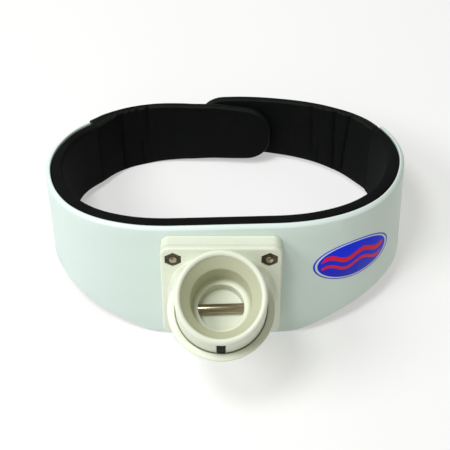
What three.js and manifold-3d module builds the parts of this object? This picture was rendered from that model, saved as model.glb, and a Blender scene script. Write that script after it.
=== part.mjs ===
// Fishing fighting belt: a rigid wrap shell lined with foam, two padded straps that
// overlap and close at the back, and a moulded housing that holds a tilted rod cup.
// Millimetres. The belt is drawn with its top edge level, X to the viewer's right,
// Y towards the back and Z up, and is then leaned onto its lower edges to stand.

import * as THREE from "three";
import { mergeVertices } from "three/addons/utils/BufferGeometryUtils.js";
import Module from "manifold-3d";

const wasm = await Module();
wasm.setup();

// General
const CLEARANCE = 0.3;
const ROUND_SEGMENTS = 48;

// Belt loop, measured over the outer face
const BELT_WIDTH = 312;
const BELT_DEPTH = 172.5;
const TOP_ROLL_DEG = 1.9;

// Shell
const SHELL_WALL = 4;
const SHELL_HEIGHT = 127;
const SHELL_REACH_LEFT = 277;
const SHELL_REACH_RIGHT = 251;
const SHELL_CORNER = 6;
const RIGHT_FLARE = 3.5;
const WRAP_SEGMENTS = 76;

// Foam liner
const LINER_THICKNESS = 9;
const LINER_INSET = 1;
const LINER_MARGIN_LEFT = 1;
const LINER_MARGIN_RIGHT = 1;
const LINER_CORNER = 1.5;

// Straps
const STRAP_THICKNESS = 8;
const STRAP_HEIGHT = 62;
const LEFT_STRAP_PAST_CENTRE = 43;
const RIGHT_STRAP_PAST_CENTRE = 23;
const STRAP_CORNER = 22;
const STRAP_SEGMENTS = 46;
const STRAP_STEP = 40;
const SEAM_INSET = 1;

// Hook and loop patch between the overlapped straps
const PATCH_THICKNESS = 1.6;
const PATCH_HEIGHT = 36;
const PATCH_MARGIN = 8;

// Mounting plate
const PLATE_WIDTH = 100;
const PLATE_HEIGHT = 100;
const PLATE_DEPTH = 16;
const PLATE_DROP = 8.8;
const PLATE_SHIFT = -2.5;
const PLATE_CORNER = 8;
const PLATE_EDGE = 1.8;
const PLATE_CAP = 3.4;
const PLATE_GROOVE_WIDTH = 1.4;
const PLATE_GROOVE_DEPTH = 0.8;

// Socket boss: from a round foot in the middle of the plate to a rim that leans back
const BOSS_LEAN_DEG = 62;
const BOSS_RADIUS = 43.2;
const BOSS_LIFT = 3;
const BOSS_TOP_BELOW_PLATE = 6;
const BOSS_FOOT_RADIUS = 45;
const BOSS_EDGE = 1.2;

// Rod cup
const CUP_RADIUS = 36.4;
const CUP_SEAT_DEPTH = 13;
const CUP_SEAT_TAPER = 5;
const CUP_GAP = 0.9;
const CUP_RISE = 30.6;
const CUP_WALL = 5;
const CUP_MOUTH_SLANT_DEG = 11;
const FUNNEL_RADIUS = 24.1;
const FUNNEL_DEPTH = 7.8;
const LEDGE_WIDTH = 4.8;
const BORE_RADIUS = 18.4;
const BORE_DEPTH = 10.6;
const CUP_FLOOR = 6.7;

// Cross pin through the bore, and the key in the collar
const PIN_DIAMETER = 7.6;
const PIN_IN_WALL = 7;
const PIN_ABOVE_FLOOR = 2.1;
const PIN_YAW_DEG = 1.6;
const KEY_WIDTH = 6.6;
const KEY_DEPTH = 3.4;
const KEY_HEIGHT = 18;

// Fastenings in the upper corners of the plate
const NUT_SPACING = 79;
const NUT_BELOW_PLATE_TOP = 12.2;
const NUT_ACROSS_FLATS = 12.7;
const NUT_THICKNESS = 5;
const NUT_POCKET_GAP = 0.35;
const BOLT_DIAMETER = 6;
const BOLT_PROUD = 1.2;
const BOLT_HEAD_DIAMETER = 13;
const BOLT_HEAD_THICKNESS = 2.4;

// Right half of the loop seen from above, from the front centre to the back centre,
// as shares of half the belt's width and of its depth
const HALF_PLAN = [
  { side: 0.0, back: 0.0 },
  { side: 0.2, back: 0.0 },
  { side: 0.33, back: 0.0015 },
  { side: 0.45, back: 0.012 },
  { side: 0.56, back: 0.034 },
  { side: 0.67, back: 0.069 },
  { side: 0.77, back: 0.119 },
  { side: 0.86, back: 0.188 },
  { side: 0.935, back: 0.285 },
  { side: 0.98, back: 0.39 },
  { side: 1.0, back: 0.505 },
  { side: 0.99, back: 0.605 },
  { side: 0.955, back: 0.7 },
  { side: 0.885, back: 0.8 },
  { side: 0.765, back: 0.89 },
  { side: 0.62, back: 0.953 },
  { side: 0.45, back: 0.99 },
  { side: 0.25, back: 1.0 },
  { side: 0.0, back: 1.0 },
];

// Lower edges of shell and liner, as shares of the left reach and of the shell's height
const LOWER_EDGES = [
  { along: 0.0, shell: 1.0, liner: 0.98 },
  { along: 0.22, shell: 0.995, liner: 0.975 },
  { along: 0.287, shell: 0.945, liner: 0.925 },
  { along: 0.364, shell: 0.876, liner: 0.857 },
  { along: 0.44, shell: 0.822, liner: 0.803 },
  { along: 0.5, shell: 0.776, liner: 0.757 },
  { along: 0.545, shell: 0.744, liner: 0.725 },
  { along: 0.61, shell: 0.722, liner: 0.703 },
  { along: 0.74, shell: 0.718, liner: 0.694 },
  { along: 0.8, shell: 0.71, liner: 0.668 },
  { along: 0.852, shell: 0.668, liner: 0.625 },
  { along: 0.906, shell: 0.635, liner: 0.582 },
  { along: 1.0, shell: 0.58, liner: 0.556 },
];

// Straps' lower edge, as shares of the way from their seam to the back centre and of their height
const STRAP_DROP = [
  { along: 0.0, drop: 1.12 },
  { along: 0.1, drop: 1.09 },
  { along: 0.2, drop: 1.075 },
  { along: 0.3, drop: 1.06 },
  { along: 0.4, drop: 1.035 },
  { along: 0.5, drop: 1.012 },
  { along: 0.6, drop: 0.996 },
  { along: 0.75, drop: 0.978 },
  { along: 0.9, drop: 0.962 },
  { along: 1.0, drop: 0.955 },
  { along: 1.15, drop: 0.935 },
  { along: 1.35, drop: 0.9 },
];

// How each strap runs, as shares of the way from its seam to the back centre, of its
// thickness inwards, of the step outwards over the other strap, and of its height sagged
const LEFT_STRAP_RUN = [
  { along: 0.0, inward: -0.05, lap: 0, sag: 0 },
  { along: 0.1, inward: -0.34, lap: 0, sag: 0 },
  { along: 0.25, inward: -0.38, lap: 0, sag: 0 },
  { along: 0.4, inward: -0.44, lap: 0, sag: 0 },
  { along: 0.55, inward: -0.42, lap: 0, sag: 0 },
  { along: 0.68, inward: -0.27, lap: 0, sag: 0 },
  { along: 0.78, inward: -0.07, lap: 0, sag: 0 },
  { along: 0.86, inward: 0.0, lap: 0, sag: 0 },
  { along: 0.95, inward: 0.05, lap: 0, sag: 0.005 },
  { along: 1.07, inward: 0.25, lap: 0, sag: 0.03 },
  { along: 1.15, inward: 0.38, lap: 0, sag: 0.05 },
  { along: 1.25, inward: 0.5, lap: 0, sag: 0.08 },
  { along: 1.4, inward: 0.6, lap: 0, sag: 0.12 },
];
const RIGHT_STRAP_RUN = [
  { along: 0.0, inward: 0.3, lap: 0.0, sag: 0 },
  { along: 0.15, inward: 0.3, lap: 0.0, sag: 0 },
  { along: 0.3, inward: 0.28, lap: 0.06, sag: 0 },
  { along: 0.42, inward: 0.2, lap: 0.18, sag: 0 },
  { along: 0.55, inward: 0.1, lap: 0.34, sag: 0 },
  { along: 0.65, inward: 0.0, lap: 0.5, sag: 0 },
  { along: 0.74, inward: 0.0, lap: 0.72, sag: 0 },
  { along: 0.84, inward: 0.0, lap: 0.9, sag: 0 },
  { along: 0.93, inward: 0.0, lap: 1.0, sag: 0 },
  { along: 1.2, inward: 0.0, lap: 1.0, sag: 0 },
];

// Upright folds in the straps' inner face, as shares of the way from the seam to the back
// centre, of the strap's thickness and of its height
const STRAP_FOLDS = [
  { along: 0.18, depth: 0.3, width: 0.1 },
  { along: 0.37, depth: 0.28, width: 0.1 },
  { along: 0.58, depth: 0.15, width: 0.08 },
];

// Helpers for shapes

// A smooth value between the rows of a table whose first column is along
function share(table, key, x) {
  const last = table.length - 1;
  const slope = (i) => {
    const a = table[Math.max(i - 1, 0)];
    const b = table[Math.min(i + 1, last)];
    return (b[key] - a[key]) / (b.along - a.along);
  };
  for (let i = 0; i < last; i += 1) {
    const a = table[i];
    const b = table[i + 1];
    if (x <= b.along) {
      const span = b.along - a.along;
      const t = Math.max(x - a.along, 0) / span;
      const ease = t * t * (3 - 2 * t);
      const leave = t * (1 - t) * (1 - t) * span * slope(i);
      const arrive = t * t * (t - 1) * span * slope(i + 1);
      return a[key] + (b[key] - a[key]) * ease + leave + arrive;
    }
  }
  return table[last][key];
}

function smooth(t) {
  const c = Math.min(Math.max(t, 0), 1);
  return c * c * (3 - 2 * c);
}

// A closed body through rings of points, with each end closed by a fan. Every face is split
// from its lower corner to the upper one on the next ring, so that close sheets stay parallel
function bodyFromRings(rings) {
  const n = rings[0].length;
  const positions = rings.flat().flatMap((p) => [p.x, p.y, p.z]);
  const index = [];
  for (let r = 0; r < rings.length - 1; r += 1) {
    for (let k = 0; k < n; k += 1) {
      const a = r * n + k;
      const b = r * n + ((k + 1) % n);
      if (rings[r][(k + 1) % n].z > rings[r][k].z) {
        index.push(a, b, b + n, a, b + n, a + n);
      } else {
        index.push(a, b, a + n, b, b + n, a + n);
      }
    }
  }
  for (const end of [0, rings.length - 1]) {
    const centre = new THREE.Vector3();
    rings[end].forEach((p) => centre.addScaledVector(p, 1 / n));
    const c = positions.length / 3;
    positions.push(centre.x, centre.y, centre.z);
    for (let k = 0; k < n; k += 1) {
      const a = end * n + k;
      const b = end * n + ((k + 1) % n);
      if (end === 0) {
        index.push(c, b, a);
      } else {
        index.push(c, a, b);
      }
    }
  }
  const geometry = new THREE.BufferGeometry();
  geometry.setAttribute("position", new THREE.Float32BufferAttribute(positions, 3));
  geometry.setIndex(index);
  return faceOut(geometry);
}

function faceOut(geometry) {
  const p = geometry.attributes.position;
  const index = geometry.index.array;
  const a = new THREE.Vector3();
  const b = new THREE.Vector3();
  const c = new THREE.Vector3();
  let volume = 0;
  for (let i = 0; i < index.length; i += 3) {
    a.fromBufferAttribute(p, index[i]);
    b.fromBufferAttribute(p, index[i + 1]);
    c.fromBufferAttribute(p, index[i + 2]);
    volume += a.dot(b.cross(c));
  }
  if (volume < 0) {
    for (let i = 0; i < index.length; i += 3) {
      const swap = index[i + 1];
      index[i + 1] = index[i + 2];
      index[i + 2] = swap;
    }
  }
  return geometry;
}

// Solids for joining and cutting

function toSolid(geometry) {
  const g = geometry.clone();
  g.deleteAttribute("normal");
  g.deleteAttribute("uv");
  const merged = mergeVertices(g, 1e-4);
  return new wasm.Manifold(
    new wasm.Mesh({
      numProp: 3,
      vertProperties: new Float32Array(merged.attributes.position.array),
      triVerts: new Uint32Array(merged.index.array),
    }),
  );
}

function toGeometry(solid) {
  const mesh = solid.getMesh();
  const geometry = new THREE.BufferGeometry();
  const positions = [];
  for (let i = 0; i < mesh.numVert; i += 1) {
    const at = i * mesh.numProp;
    positions.push(...mesh.vertProperties.slice(at, at + 3));
  }
  geometry.setAttribute("position", new THREE.Float32BufferAttribute(positions, 3));
  geometry.setIndex(Array.from(mesh.triVerts));
  return geometry;
}

// A cylinder along Y, from yFront to yBack, with its axis at x and z
function rod(radius, x, z, yFront, yBack, sides) {
  const g = new THREE.CylinderGeometry(radius, radius, yBack - yFront, sides);
  g.translate(x, (yFront + yBack) / 2, z);
  return g;
}

// The belt's loop, as a curve with distances measured from the front centre

const halfWidth = BELT_WIDTH / 2;
const rightHalf = HALF_PLAN.map((r) => new THREE.Vector3(r.side * halfWidth, r.back * BELT_DEPTH, 0));
const leftHalf = rightHalf
  .slice(1, -1)
  .reverse()
  .map((p) => new THREE.Vector3(-p.x, p.y, 0));
const loop = new THREE.CatmullRomCurve3([...rightHalf, ...leftHalf], true, "centripetal");
loop.arcLengthDivisions = 2000;
const loopLength = loop.getLength();
const halfLoop = loopLength / 2;
const topSlope = Math.tan(THREE.MathUtils.degToRad(TOP_ROLL_DEG));

// distance: from the front centre, positive to the right; inward: depth below the outer face
function onLoop(distance, inward, z) {
  const u = (((distance / loopLength) % 1) + 1) % 1;
  const p = loop.getPointAt(u);
  const t = loop.getTangentAt(u);
  return new THREE.Vector3(p.x - t.y * inward, p.y + t.x * inward, z);
}

function topEdge(distance) {
  return onLoop(distance, 0, 0).x * topSlope;
}

// A strip of the belt, with a rounded rectangle as its section.
// section(distance) gives outer, inner, top, bottom, edge and flare
function strip(from, to, segments, section) {
  const rings = [];
  for (let i = 0; i <= segments; i += 1) {
    const d = from + ((to - from) * i) / segments;
    const s = section(d);
    const r = Math.min(s.edge, (s.inner - s.outer) * 0.49, (s.top - s.bottom) * 0.49);
    const corners = [
      { w: s.outer + r, z: s.bottom + r, start: 180 },
      { w: s.inner - r, z: s.bottom + r, start: 270 },
      { w: s.inner - r, z: s.top - r, start: 0 },
      { w: s.outer + r, z: s.top - r, start: 90 },
    ];
    const ring = [];
    for (const c of corners) {
      for (const turn of [0, 45, 90]) {
        const a = THREE.MathUtils.degToRad(c.start + turn);
        const z = c.z + r * Math.sin(a);
        const lean = s.flare * (z - topEdge(d));
        ring.push(onLoop(d, c.w + r * Math.cos(a) + lean, z));
      }
    }
    rings.push(ring);
  }
  return bodyFromRings(rings);
}

// How far a rounded corner pulls the edge in, at a distance from the end of a strip
function cornerPull(fromEnd, radius) {
  if (fromEnd >= radius) {
    return 0;
  }
  const d = radius - Math.max(fromEnd, 0);
  return radius - Math.sqrt(Math.max(radius * radius - d * d, 0));
}

// Shell and liner

function linerBottom(distance) {
  return -SHELL_HEIGHT * share(LOWER_EDGES, "liner", Math.abs(distance) / SHELL_REACH_LEFT);
}

function shellBottom(distance) {
  return -SHELL_HEIGHT * share(LOWER_EDGES, "shell", Math.abs(distance) / SHELL_REACH_LEFT);
}

// How far shell and liner lean out on the right, for each millimetre below the top edge
function flare(distance) {
  const rise = smooth((distance / SHELL_REACH_RIGHT - 0.48) / 0.2);
  const fall = smooth((distance / SHELL_REACH_RIGHT - 0.82) / 0.18);
  return (RIGHT_FLARE * rise * (1 - fall)) / (topEdge(distance) - shellBottom(distance));
}

function shellSection(distance) {
  const fromEnd = Math.min(SHELL_REACH_LEFT + distance, SHELL_REACH_RIGHT - distance);
  const pull = cornerPull(fromEnd, SHELL_CORNER);
  return {
    outer: 0,
    inner: SHELL_WALL,
    top: topEdge(distance) - pull,
    bottom: shellBottom(distance) + pull,
    edge: SHELL_WALL * 0.45,
    flare: flare(distance),
  };
}

const linerOuter = SHELL_WALL + CLEARANCE;
const linerInner = linerOuter + LINER_THICKNESS;
const linerFrom = -(SHELL_REACH_LEFT + LINER_MARGIN_LEFT);
const linerTo = SHELL_REACH_RIGHT + LINER_MARGIN_RIGHT;

function linerSection(distance) {
  const fromEnd = Math.min(distance - linerFrom, linerTo - distance);
  const pull = cornerPull(fromEnd, LINER_CORNER);
  return {
    outer: linerOuter,
    inner: linerInner,
    top: topEdge(distance) - LINER_INSET - pull,
    bottom: linerBottom(distance) + pull,
    edge: LINER_THICKNESS * 0.28,
    flare: flare(distance),
  };
}

// Straps: the left one lies inside, the right one laps over it

const lapShift = STRAP_THICKNESS + PATCH_THICKNESS + 2 * CLEARANCE;

function strapFold(progress, height) {
  let depth = 0;
  for (const fold of STRAP_FOLDS) {
    const away = ((progress - fold.along) * halfLoop) / 3 / (fold.width * height);
    depth += fold.depth * STRAP_THICKNESS * Math.exp(-away * away);
  }
  return depth;
}

function strapDepth(run, progress) {
  const inward = STRAP_THICKNESS * share(run, "inward", progress);
  return inward - lapShift * share(run, "lap", progress);
}

// travelled: distance from the strap's seam; whole: distance from the seam to the back centre
function strapSection(travelled, whole, free, side, run) {
  const progress = travelled / whole;
  const distance = side * (halfLoop - whole + travelled);
  const seam = 1 - smooth(travelled / STRAP_STEP);
  const pull = cornerPull(free - travelled, STRAP_CORNER);
  const sag = STRAP_HEIGHT * share(run, "sag", progress);
  const depth = strapDepth(run, progress);
  const inner = STRAP_THICKNESS + (linerInner - STRAP_THICKNESS) * seam;
  return {
    outer: SEAM_INSET * seam + depth,
    inner: inner - strapFold(progress, STRAP_HEIGHT) + depth * (1 - seam),
    top: topEdge(distance) - LINER_INSET - sag - pull,
    bottom: topEdge(distance) / 2 - STRAP_HEIGHT * share(STRAP_DROP, "drop", progress) + pull,
    edge: STRAP_THICKNESS * 0.42,
    flare: 0,
  };
}

const leftWhole = halfLoop + linerFrom - CLEARANCE;
const leftFree = leftWhole + LEFT_STRAP_PAST_CENTRE;
const rightWhole = halfLoop - linerTo - CLEARANCE;
const rightFree = rightWhole + RIGHT_STRAP_PAST_CENTRE;

function leftStrap() {
  const seamAt = linerFrom - CLEARANCE;
  return strip(seamAt, seamAt - leftFree, STRAP_SEGMENTS, (d) => {
    return strapSection(seamAt - d, leftWhole, leftFree, -1, LEFT_STRAP_RUN);
  });
}

function rightStrap() {
  const seamAt = linerTo + CLEARANCE;
  return strip(seamAt, seamAt + rightFree, STRAP_SEGMENTS, (d) => {
    return strapSection(d - seamAt, rightWhole, rightFree, 1, RIGHT_STRAP_RUN);
  });
}

// The patch follows the inner face of the outer strap
function patch() {
  const from = halfLoop - LEFT_STRAP_PAST_CENTRE + PATCH_MARGIN;
  const to = halfLoop + RIGHT_STRAP_PAST_CENTRE - PATCH_MARGIN;
  const middle = -STRAP_HEIGHT * 0.5;
  return strip(from, to, 12, (d) => {
    const progress = (d - linerTo - CLEARANCE) / rightWhole;
    const outer = strapDepth(RIGHT_STRAP_RUN, progress) + STRAP_THICKNESS + CLEARANCE;
    return {
      outer,
      inner: outer + PATCH_THICKNESS,
      top: middle + PATCH_HEIGHT / 2,
      bottom: middle - PATCH_HEIGHT / 2,
      edge: PATCH_THICKNESS / 4,
      flare: 0,
    };
  });
}

// Fastening positions
const nutX = [PLATE_SHIFT - NUT_SPACING / 2, PLATE_SHIFT + NUT_SPACING / 2];
const nutZ = -PLATE_DROP - NUT_BELOW_PLATE_TOP;
const plateBack = -CLEARANCE;
const plateFace = -PLATE_DEPTH;
const nutFace = plateFace + CLEARANCE;
const nutBack = nutFace + NUT_THICKNESS;
const boltBack = SHELL_WALL + CLEARANCE;
const headBack = boltBack + BOLT_HEAD_THICKNESS;

function cutForBolts(geometry, radius, from, to) {
  let solid = toSolid(geometry);
  for (const x of nutX) {
    solid = solid.subtract(toSolid(rod(radius, x, nutZ, from, to, 24)));
  }
  return toGeometry(solid);
}

function shell() {
  const g = strip(-SHELL_REACH_LEFT, SHELL_REACH_RIGHT, WRAP_SEGMENTS, shellSection);
  return cutForBolts(g, BOLT_DIAMETER / 2 + CLEARANCE, -SHELL_WALL, SHELL_WALL * 2);
}

function liner() {
  const g = strip(linerFrom, linerTo, WRAP_SEGMENTS, linerSection);
  return cutForBolts(g, BOLT_HEAD_DIAMETER / 2 + CLEARANCE, 0, headBack + CLEARANCE);
}

// Frame of the boss and cup: origin at the middle of the boss's rim, Z along the cup's axis
const lean = THREE.MathUtils.degToRad(BOSS_LEAN_DEG);
const bossTopY = plateFace - BOSS_LIFT;
const bossTopZ = -PLATE_DROP - BOSS_TOP_BELOW_PLATE;
const cupFrame = new THREE.Matrix4()
  .makeTranslation(
    PLATE_SHIFT,
    bossTopY - BOSS_RADIUS * Math.sin(lean),
    bossTopZ - BOSS_RADIUS * Math.cos(lean),
  )
  .multiply(new THREE.Matrix4().makeRotationX(Math.PI / 2 - lean));

function circle(radius) {
  const points = [];
  for (let k = 0; k < ROUND_SEGMENTS; k += 1) {
    const a = (2 * Math.PI * k) / ROUND_SEGMENTS;
    points.push(new THREE.Vector2(radius * Math.cos(a), radius * Math.sin(a)));
  }
  return points;
}

// A turned body whose rings may be slanted: rows of radius, height and slant in degrees
function turned(rows) {
  const rings = rows.map((row) => {
    const slope = Math.tan(THREE.MathUtils.degToRad(row.slant || 0));
    return circle(row.r).map((p) => new THREE.Vector3(p.x, p.y, row.h + p.y * slope));
  });
  return bodyFromRings(rings).applyMatrix4(cupFrame);
}

// Housing: plate and boss in one moulding, with the socket and the nut pockets cut in

function plateOutline(inset) {
  const w = PLATE_WIDTH / 2 - inset;
  const top = -inset;
  const low = -PLATE_HEIGHT + inset;
  const r = PLATE_CORNER - inset;
  const s = new THREE.Shape();
  s.moveTo(-w + r, low);
  s.lineTo(w - r, low);
  s.absarc(w - r, low + r, r, -Math.PI / 2, 0, false);
  s.lineTo(w, top - r);
  s.absarc(w - r, top - r, r, 0, Math.PI / 2, false);
  s.lineTo(-w + r, top);
  s.absarc(-w + r, top - r, r, Math.PI / 2, Math.PI, false);
  s.lineTo(-w, low + r);
  s.absarc(-w + r, low + r, r, Math.PI, 1.5 * Math.PI, false);
  return s.getPoints(5).slice(0, -1);
}

function plate() {
  const capBack = plateFace + PLATE_CAP;
  const grooveBack = capBack + PLATE_GROOVE_WIDTH;
  const steps = [
    { y: plateBack, inset: 0 },
    { y: grooveBack, inset: 0 },
    { y: grooveBack - 0.3, inset: PLATE_GROOVE_DEPTH },
    { y: capBack + 0.3, inset: PLATE_GROOVE_DEPTH },
    { y: capBack, inset: 0 },
    { y: plateFace + PLATE_EDGE, inset: 0 },
    { y: plateFace + PLATE_EDGE * 0.3, inset: PLATE_EDGE * 0.3 },
    { y: plateFace, inset: PLATE_EDGE },
  ];
  const rings = steps.map((step) => {
    return plateOutline(step.inset).map((p) => {
      return new THREE.Vector3(PLATE_SHIFT + p.x, step.y, p.y - PLATE_DROP);
    });
  });
  return bodyFromRings(rings);
}

const seatRadius = CUP_RADIUS - CUP_SEAT_TAPER;
const socketDepth = CUP_SEAT_DEPTH + CLEARANCE;

function rimRing(radius, height) {
  return circle(radius).map((p) => new THREE.Vector3(p.x, p.y, height).applyMatrix4(cupFrame));
}

function footRing(radius, y) {
  const z = -PLATE_DROP - PLATE_HEIGHT / 2;
  return circle(radius).map((p) => new THREE.Vector3(PLATE_SHIFT + p.x, y, z + p.y));
}

function boss() {
  return bodyFromRings([
    footRing(BOSS_FOOT_RADIUS, plateFace + PLATE_EDGE),
    footRing(BOSS_FOOT_RADIUS, plateFace - BOSS_EDGE / 2),
    rimRing(BOSS_RADIUS, -BOSS_EDGE),
    rimRing(BOSS_RADIUS - BOSS_EDGE * 0.3, -BOSS_EDGE * 0.3),
    rimRing(BOSS_RADIUS - BOSS_EDGE, 0),
  ]);
}

function socket() {
  return turned([
    { r: seatRadius + CUP_GAP, h: -socketDepth },
    { r: CUP_RADIUS + CUP_GAP, h: -0.6 },
    { r: CUP_RADIUS + CUP_GAP + 0.6, h: 0 },
    { r: CUP_RADIUS + CUP_GAP + 0.6, h: 60 },
  ]);
}

function hexPocket(x) {
  const radius = (NUT_ACROSS_FLATS / 2 + NUT_POCKET_GAP) / Math.cos(Math.PI / 6);
  const g = new THREE.CylinderGeometry(radius, radius, PLATE_DEPTH, 6);
  g.translate(x, nutBack + CLEARANCE - PLATE_DEPTH / 2, nutZ);
  return g;
}

function housing() {
  const box = new THREE.BoxGeometry(4 * PLATE_WIDTH, 2 * PLATE_DEPTH, 4 * PLATE_HEIGHT);
  box.translate(PLATE_SHIFT, plateBack + PLATE_DEPTH, 0);
  let solid = toSolid(plate()).add(toSolid(boss()));
  solid = solid.subtract(toSolid(socket())).subtract(toSolid(box));
  for (const x of nutX) {
    solid = solid.subtract(toSolid(hexPocket(x)));
    solid = solid.subtract(toSolid(rod(BOLT_DIAMETER / 2 + CLEARANCE, x, nutZ, -PLATE_DEPTH * 2, 5, 24)));
  }
  return toGeometry(solid);
}

// Cup

const mouth = CUP_RISE;
const slant = CUP_MOUTH_SLANT_DEG;
const lip = CUP_WALL / 2;
const ledgeOuter = BORE_RADIUS + LEDGE_WIDTH;
const boreFloor = -CUP_SEAT_DEPTH + CUP_FLOOR;
const ledgeHeight = boreFloor + BORE_DEPTH;

function cupBody() {
  const mid = CUP_RADIUS - lip;
  return turned([
    { r: seatRadius - 1.2, h: -CUP_SEAT_DEPTH },
    { r: seatRadius, h: -CUP_SEAT_DEPTH + 1.2 },
    { r: CUP_RADIUS, h: -0.4 },
    { r: CUP_RADIUS, h: 4 },
    { r: CUP_RADIUS, h: mouth * 0.55, slant: slant * 0.6 },
    { r: CUP_RADIUS, h: mouth, slant },
    { r: mid + lip * 0.87, h: mouth + lip * 0.5, slant },
    { r: mid + lip * 0.5, h: mouth + lip * 0.87, slant },
    { r: mid, h: mouth + lip, slant },
    { r: mid - lip * 0.5, h: mouth + lip * 0.87, slant },
    { r: mid - lip * 0.87, h: mouth + lip * 0.5, slant },
    { r: mid - lip, h: mouth, slant },
    { r: (mid - lip + FUNNEL_RADIUS) / 2 + 0.5, h: mouth - FUNNEL_DEPTH * 0.6, slant },
    { r: FUNNEL_RADIUS + 0.5, h: mouth - FUNNEL_DEPTH + 0.3, slant },
    { r: FUNNEL_RADIUS, h: mouth - FUNNEL_DEPTH - 0.5, slant },
    { r: ledgeOuter, h: ledgeHeight + 1.2 },
    { r: BORE_RADIUS + 0.4, h: ledgeHeight },
    { r: BORE_RADIUS, h: ledgeHeight - 0.5 },
    { r: BORE_RADIUS - 0.4, h: boreFloor + 0.8 },
    { r: BORE_RADIUS - 1.2, h: boreFloor },
  ]);
}

const pinHeight = boreFloor + PIN_DIAMETER / 2 + PIN_ABOVE_FLOOR;
const pinLength = 2 * (BORE_RADIUS + PIN_IN_WALL);
const keyFoot = 0.8;

function pinShape(extra) {
  const r = PIN_DIAMETER / 2 + extra;
  const g = new THREE.CylinderGeometry(r, r, pinLength + 2 * extra, 28);
  g.rotateZ(Math.PI / 2);
  g.rotateZ(THREE.MathUtils.degToRad(PIN_YAW_DEG));
  g.translate(0, 0, pinHeight);
  return g.applyMatrix4(cupFrame);
}

function keyShape(extra) {
  const depth = KEY_DEPTH + extra + CLEARANCE * 2;
  const g = new THREE.BoxGeometry(KEY_WIDTH + 2 * extra, depth, KEY_HEIGHT + 2 * extra);
  g.translate(0, -CUP_RADIUS + KEY_DEPTH + extra - depth / 2, keyFoot + KEY_HEIGHT / 2);
  return g.applyMatrix4(cupFrame);
}

function cup() {
  const solid = toSolid(cupBody())
    .subtract(toSolid(pinShape(CLEARANCE)))
    .subtract(toSolid(keyShape(CLEARANCE)));
  return toGeometry(solid);
}

// Nuts and bolts

function nut(x) {
  const r = NUT_ACROSS_FLATS / 2 / Math.cos(Math.PI / 6);
  const g = new THREE.CylinderGeometry(r, r, NUT_THICKNESS, 6);
  g.translate(x, (nutFace + nutBack) / 2, nutZ);
  const hole = rod(BOLT_DIAMETER / 2 + CLEARANCE, x, nutZ, -2 * PLATE_DEPTH, 2 * PLATE_DEPTH, 24);
  return toGeometry(toSolid(g).subtract(toSolid(hole)));
}

function bolt(x) {
  const tip = plateFace - BOLT_PROUD;
  const r = BOLT_DIAMETER / 2;
  const head = BOLT_HEAD_DIAMETER / 2;
  const profile = [
    [0, tip],
    [r - 0.6, tip],
    [r, tip + 0.6],
    [r, boltBack],
    [head, boltBack],
    [head, headBack - 0.6],
    [head - 0.6, headBack],
    [0, headBack],
  ].map(([radius, y]) => new THREE.Vector2(radius, y));
  const g = new THREE.LatheGeometry(profile, 24);
  return g.translate(x, 0, nutZ);
}

// Materials

function material(color, roughness, metalness) {
  return new THREE.MeshStandardMaterial({ color, roughness, metalness });
}

const whitePlastic = material(0xe8eff0, 0.38, 0);
const creamPlastic = material(0xf0eee7, 0.42, 0);
const blackFoam = material(0x161618, 0.9, 0);
const blackPad = material(0x131316, 0.82, 0);
const blackTape = material(0x1d1d21, 0.95, 0);
const blackPlastic = material(0x0d0d0f, 0.5, 0);
const brightSteel = material(0xb9bdc2, 0.22, 1);
const darkSteel = material(0x74777c, 0.35, 1);

// Assembly

const belt = new THREE.Group();

function addPart(name, geometry, look) {
  const mesh = new THREE.Mesh(geometry, look);
  mesh.name = name;
  belt.add(mesh);
}

addPart("shell", shell(), whitePlastic);
addPart("foam_liner", liner(), blackFoam);
addPart("strap_left", leftStrap(), blackPad);
addPart("strap_right", rightStrap(), blackPad);
addPart("hook_and_loop_patch", patch(), blackTape);
addPart("gimbal_housing", housing(), creamPlastic);
addPart("gimbal_cup", cup(), creamPlastic);
addPart("cup_key", keyShape(0), blackPlastic);
addPart("cross_pin", pinShape(0), brightSteel);
addPart("nut_left", nut(nutX[0]), darkSteel);
addPart("nut_right", nut(nutX[1]), darkSteel);
addPart("bolt_left", bolt(nutX[0]), brightSteel);
addPart("bolt_right", bolt(nutX[1]), brightSteel);

// The belt stands on its front lower edge and the straps' lower edges: the lean at which
// the lowest point of the front half and that of the back half are level

function lowest(angle, inFront) {
  let low = Infinity;
  const p = new THREE.Vector3();
  for (const mesh of belt.children) {
    const points = mesh.geometry.attributes.position;
    for (let i = 0; i < points.count; i += 1) {
      p.fromBufferAttribute(points, i);
      if (p.y < BELT_DEPTH / 2 === inFront) {
        low = Math.min(low, p.z * Math.cos(angle) - p.y * Math.sin(angle));
      }
    }
  }
  return low;
}

let small = 0;
let large = Math.PI / 4;
for (let i = 0; i < 40; i += 1) {
  const angle = (small + large) / 2;
  if (lowest(angle, true) < lowest(angle, false)) {
    small = angle;
  } else {
    large = angle;
  }
}

const part = new THREE.Group();
belt.rotation.x = -(small + large) / 2;
part.add(belt);
part.updateMatrixWorld(true);
const bounds = new THREE.Box3().setFromObject(belt, true);
const middle = bounds.getCenter(new THREE.Vector3());
belt.position.set(-middle.x, -middle.y, -bounds.min.z);
part.updateMatrixWorld(true);

export default part;
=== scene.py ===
# %% [markdown]
# # A fishing fighting belt
# The belt spreads the pull of a big fish over the waist. A white plastic shell wraps
# round the front, a foam liner cushions it, two padded straps close it at the back, and
# a moulded housing on the front holds a tilted cup for the butt of the rod.
# This lesson dresses the measured model of the belt: every piece is modelled again with
# the roundings, grooves and seams of the real one, and gets a finish made of nodes.

# %% Load the measured model
import math

import bmesh
import bpy
import numpy as np
from mathutils import Matrix, Vector


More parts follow.
